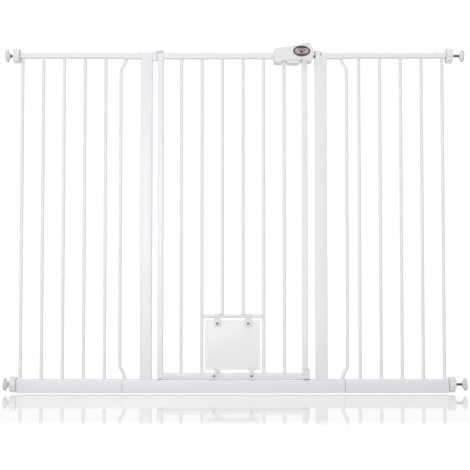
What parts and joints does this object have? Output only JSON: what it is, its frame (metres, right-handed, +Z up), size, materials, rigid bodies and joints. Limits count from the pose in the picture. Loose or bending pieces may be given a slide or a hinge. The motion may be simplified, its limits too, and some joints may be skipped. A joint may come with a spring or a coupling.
{
  "type": "pet gate",
  "caption": "White steel pressure-mount pet gate: swinging door with slide latch and cat flap, threshold rail, bolt-on side panels and threaded wall adjusters.",
  "frame": {"origin": "middle of the threshold rail's underside, on the floor", "axes": "+X across the gate to the latch side, +Y from the front to the back, +Z up"},
  "size_m": [1.4066, 0.0475, 1.071],
  "materials": {
    "powder_coated_steel": "white powder coat, satin",
    "white_plastic": "white moulded ABS, fine satin grain",
    "flap_plastic": "white moulded sheet, smooth",
    "threaded_steel": "zinc-plated, grey",
    "screw_steel": "zinc-plated, grey",
    "pad_rubber": "pale grey rubber, matt",
    "badge_plastic": "dark plum and grey oval badge"
  },
  "bodies": {
    "frame": {"threshold_rail": "powder_coated_steel", "left_post": "powder_coated_steel", "right_post": "powder_coated_steel", "left_top_stub": "powder_coated_steel", "right_top_stub": "powder_coated_steel", "left_side_bar": "powder_coated_steel", "right_side_bar": "powder_coated_steel", "left_extension_panel": "powder_coated_steel", "right_extension_panel": "powder_coated_steel", "left_top_joining_pin": "threaded_steel", "left_bottom_joining_pin": "threaded_steel", "right_top_joining_pin": "threaded_steel", "right_bottom_joining_pin": "threaded_steel", "upper_hinge_bracket": "powder_coated_steel", "strike_block": "white_plastic"},
    "hinge_pins": {"upper_hinge_pin": "white_plastic", "lower_hinge_pin": "threaded_steel"},
    "door": {"hinge_stile": "powder_coated_steel", "latch_stile": "powder_coated_steel", "door_top_rail": "powder_coated_steel", "door_bottom_rail": "powder_coated_steel", "flap_cross_rail": "powder_coated_steel", "door_bar_1": "powder_coated_steel", "door_bar_2": "powder_coated_steel", "door_bar_3": "powder_coated_steel", "door_bar_4": "powder_coated_steel", "door_bar_5": "powder_coated_steel", "door_bar_6": "powder_coated_steel", "latch_housing_front": "white_plastic", "latch_housing_rear": "white_plastic", "housing_badge": "badge_plastic", "bolt_spring": "screw_steel", "lower_lock_foot": "white_plastic", "left_lever_screw": "screw_steel", "right_lever_screw": "screw_steel"},
    "release": {"release_slider": "white_plastic", "latch_bolt": "threaded_steel"},
    "flap": {"flap_panel": "flap_plastic", "left_flap_clip": "white_plastic", "right_flap_clip": "white_plastic", "left_clip_screw": "screw_steel", "right_clip_screw": "screw_steel"},
    "left_lever": {"left_flap_lever": "white_plastic"},
    "right_lever": {"right_flap_lever": "white_plastic"},
    "left_top_wheel": {"left_top_wheel": "white_plastic"},
    "left_top_foot": {"left_top_spindle": "threaded_steel", "left_top_wall_cup": "white_plastic", "left_top_wall_pad": "pad_rubber"},
    "left_bottom_wheel": {"left_bottom_wheel": "white_plastic"},
    "left_bottom_foot": {"left_bottom_spindle": "threaded_steel", "left_bottom_wall_cup": "white_plastic", "left_bottom_wall_pad": "pad_rubber"},
    "right_top_wheel": {"right_top_wheel": "white_plastic"},
    "right_top_foot": {"right_top_spindle": "threaded_steel", "right_top_wall_cup": "white_plastic", "right_top_wall_pad": "pad_rubber"},
    "right_bottom_wheel": {"right_bottom_wheel": "white_plastic"},
    "right_bottom_foot": {"right_bottom_spindle": "threaded_steel", "right_bottom_wall_cup": "white_plastic", "right_bottom_wall_pad": "pad_rubber"}
  },
  "joints": [
    {"name": "door_lift", "type": "slide", "parent": "frame", "child": "hinge_pins", "axis": [0, 0, 1], "range_m": [0, 0.003]},
    {"name": "door_swing", "type": "hinge", "parent": "hinge_pins", "child": "door", "pos_m": [-0.2234, 0, 0], "axis": [0, 0, 1], "range_deg": [-90, 90], "stiffness_Nm_per_rad": 1},
    {"name": "release_slide", "type": "slide", "parent": "door", "child": "release", "axis": [-1, 0, 0], "range_m": [0, 0.01], "stiffness_N_per_m": 300, "springref_m": -0.005, "deforming": ["bolt_spring"]},
    {"name": "flap_swing", "type": "hinge", "parent": "door", "child": "flap", "pos_m": [-0.0029, 0, 0.2316], "axis": [1, 0, 0], "range_deg": [0, 80]},
    {"name": "left_lever_turn", "type": "hinge", "parent": "door", "child": "left_lever", "pos_m": [-0.0599, -0.0113, 0.051], "axis": [0, 1, 0], "range_deg": [-31, 59]},
    {"name": "right_lever_turn", "type": "hinge", "parent": "door", "child": "right_lever", "pos_m": [0.0541, -0.0113, 0.051], "axis": [0, -1, 0], "range_deg": [0, 90]},
    {"name": "left_top_wheel_turn", "type": "hinge", "parent": "frame", "child": "left_top_wheel", "pos_m": [-0.669, 0, 1.031], "axis": [-1, 0, 0], "range_deg": [-1260, 3600]},
    {"name": "left_top_foot_slide", "type": "slide", "parent": "frame", "child": "left_top_foot", "axis": [-1, 0, 0], "range_m": [-0.00701, 0.02001]},
    {"name": "left_bottom_wheel_turn", "type": "hinge", "parent": "frame", "child": "left_bottom_wheel", "pos_m": [-0.6715, 0, 0.0246], "axis": [-1, 0, 0], "range_deg": [-540, 3600]},
    {"name": "left_bottom_foot_slide", "type": "slide", "parent": "frame", "child": "left_bottom_foot", "axis": [-1, 0, 0], "range_m": [-0.00301, 0.02001]},
    {"name": "right_top_wheel_turn", "type": "hinge", "parent": "frame", "child": "right_top_wheel", "pos_m": [0.6644, 0, 1.031], "axis": [1, 0, 0], "range_deg": [-2160, 3600]},
    {"name": "right_top_foot_slide", "type": "slide", "parent": "frame", "child": "right_top_foot", "axis": [1, 0, 0], "range_m": [-0.01201, 0.02001]},
    {"name": "right_bottom_wheel_turn", "type": "hinge", "parent": "frame", "child": "right_bottom_wheel", "pos_m": [0.6645, 0, 0.0246], "axis": [1, 0, 0], "range_deg": [-2160, 3600]},
    {"name": "right_bottom_foot_slide", "type": "slide", "parent": "frame", "child": "right_bottom_foot", "axis": [1, 0, 0], "range_m": [-0.01201, 0.02001]}
  ],
  "couplings": [
    {"joint": "left_top_foot_slide", "follows": "left_top_wheel_turn", "m_per_rad": 0.00031831},
    {"joint": "left_bottom_foot_slide", "follows": "left_bottom_wheel_turn", "m_per_rad": 0.00031831},
    {"joint": "right_top_foot_slide", "follows": "right_top_wheel_turn", "m_per_rad": 0.00031831},
    {"joint": "right_bottom_foot_slide", "follows": "right_bottom_wheel_turn", "m_per_rad": 0.00031831}
  ]
}
